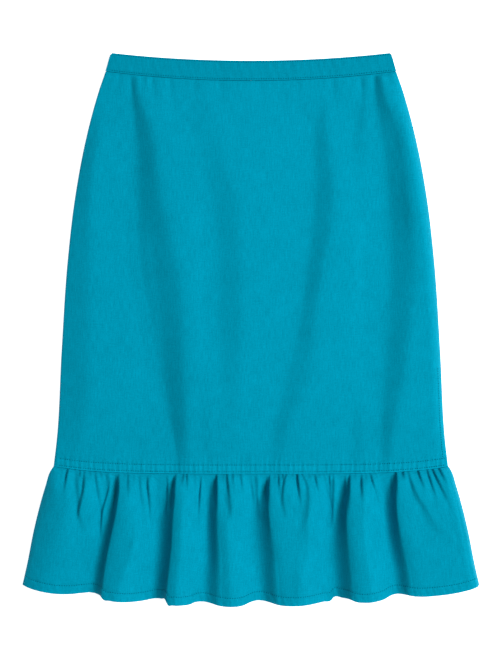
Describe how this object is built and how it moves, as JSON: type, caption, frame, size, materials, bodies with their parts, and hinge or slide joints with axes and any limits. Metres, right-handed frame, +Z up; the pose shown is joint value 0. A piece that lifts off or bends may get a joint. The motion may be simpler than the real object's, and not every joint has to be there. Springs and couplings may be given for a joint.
{
  "type": "flounce skirt",
  "caption": "Straight knee-length skirt laid flat, with a shaped waistband, a stitched strip over the flounce seam and a gathered flounce whose waves run to the hem.",
  "frame": {"origin": "under the middle of the skirt's outline, on the plane it lies on", "axes": "+Y along the skirt towards the waist, +Z up out of the front, +X to the right of someone looking at the front"},
  "size_m": [0.5787, 0.6986, 0.0195],
  "materials": {
    "cloth": "matt turquoise plain weave of cotton and linen look, piece dyed"
  },
  "bodies": {
    "root": {"waistband_back_left": "cloth", "waistband_back_right": "cloth", "back_panel_left": "cloth", "back_panel_right": "cloth", "flounce_back": "cloth", "waistband_front": "cloth", "front_panel": "cloth", "flounce_front": "cloth"}
  },
  "joints": []
}
